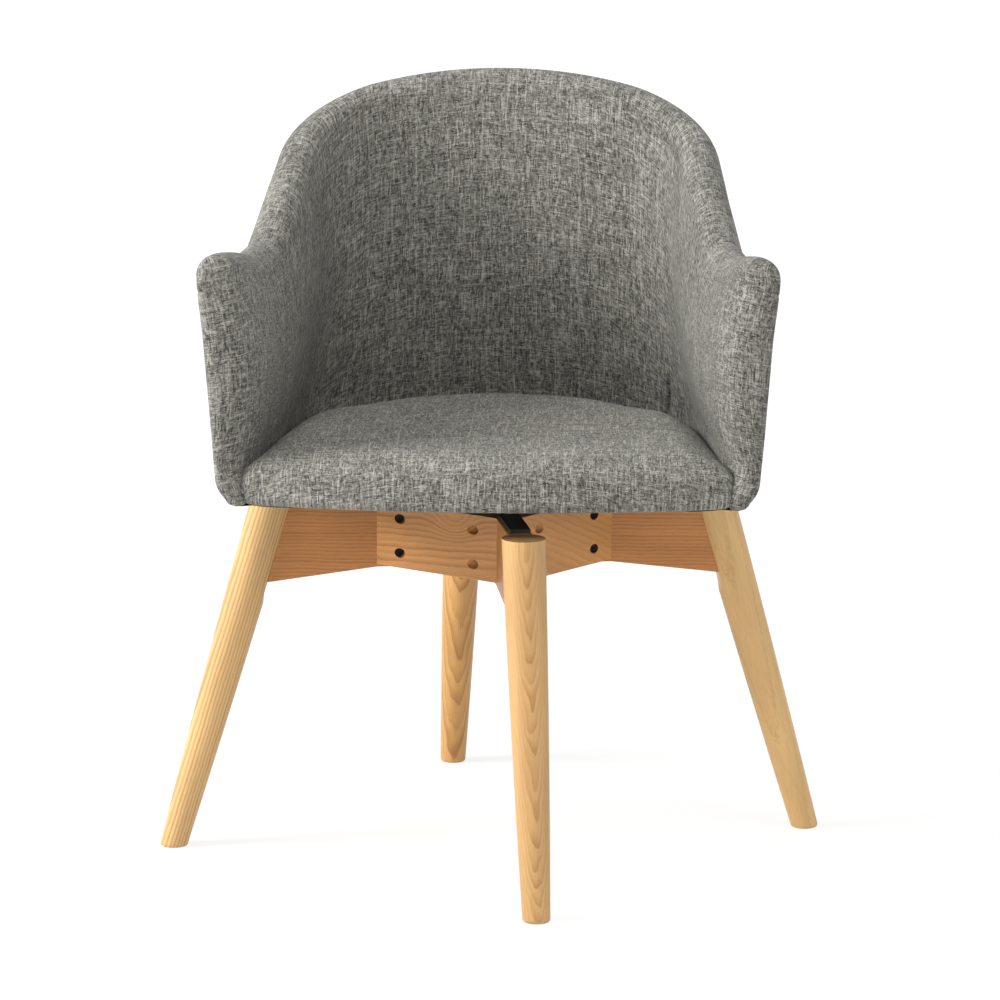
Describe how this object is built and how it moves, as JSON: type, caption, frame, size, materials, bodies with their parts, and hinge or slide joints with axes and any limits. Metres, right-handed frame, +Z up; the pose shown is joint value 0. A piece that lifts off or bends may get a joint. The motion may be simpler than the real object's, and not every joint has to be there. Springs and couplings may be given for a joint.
{
  "type": "swivel armchair",
  "caption": "Swivel dining armchair: grey woven tub shell and seat cushion turning on a ball bearing over a crossed ash base with splayed round legs.",
  "frame": {"origin": "on the floor, under the swivel axis, at the middle of the four feet", "axes": "+Z up along the swivel axis, -Y the way the sitter faces at rest, +X the sitter's left-hand side, which is the right of the chair seen from the front"},
  "size_m": [0.686, 0.686, 0.778],
  "materials": {
    "ash_wood": "clear satin lacquer on ash",
    "dowel_wood": "plain beech dowel",
    "black_bolts": "black oxide",
    "black_steel": "black powder coat",
    "zinc_steel": "zinc plated",
    "race_steel": "pressed steel, greased",
    "ball_steel": "polished balls",
    "nylon": "natural nylon",
    "plywood": "raw plywood",
    "shell_plywood": "moulded plywood",
    "foam": "polyurethane foam",
    "seat_fabric": "grey melange woven fabric",
    "shell_fabric": "grey melange woven fabric",
    "dust_cloth": "black non-woven cloth"
  },
  "bodies": {
    "base": {"front_leg": "ash_wood", "right_leg": "ash_wood", "back_leg": "ash_wood", "left_leg": "ash_wood", "side_beam": "ash_wood", "front_back_beam": "ash_wood", "corner_block_back_right": "ash_wood", "corner_block_back_left": "ash_wood", "corner_block_front_left": "ash_wood", "corner_block_front_right": "ash_wood", "leg_dowels": "dowel_wood", "connector_bolts": "black_bolts", "connector_sleeve_nuts": "black_bolts", "swivel_spider": "black_steel", "spider_screws": "zinc_steel", "pivot_washer": "zinc_steel", "pivot_nut": "zinc_steel", "pivot_pin": "zinc_steel", "lower_race": "race_steel"},
    "bearing": {"bearing_balls": "ball_steel", "ball_cage": "nylon"},
    "seat": {"upper_race": "race_steel", "pivot_bush": "nylon", "swivel_plate": "black_steel", "plate_bolts": "zinc_steel", "tee_nuts": "zinc_steel", "seat_board": "plywood", "seat_foam": "foam", "seat_cover": "seat_fabric", "dust_cover": "dust_cloth", "shell_core": "shell_plywood", "back_foam": "foam", "right_arm_foam": "foam", "left_arm_foam": "foam", "shell_cover": "shell_fabric", "shell_brackets": "zinc_steel", "bracket_screws": "zinc_steel"}
  },
  "joints": [
    {"name": "seat_swivel", "type": "hinge", "parent": "base", "child": "seat", "pos_m": [0, 0, 0.3755], "axis": [0, 0, 1], "continuous": true},
    {"name": "bearing_orbit", "type": "hinge", "parent": "base", "child": "bearing", "pos_m": [0, 0, 0.3755], "axis": [0, 0, 1], "continuous": true}
  ],
  "couplings": [
    {"joint": "bearing_orbit", "follows": "seat_swivel", "ratio": 0.5}
  ]
}
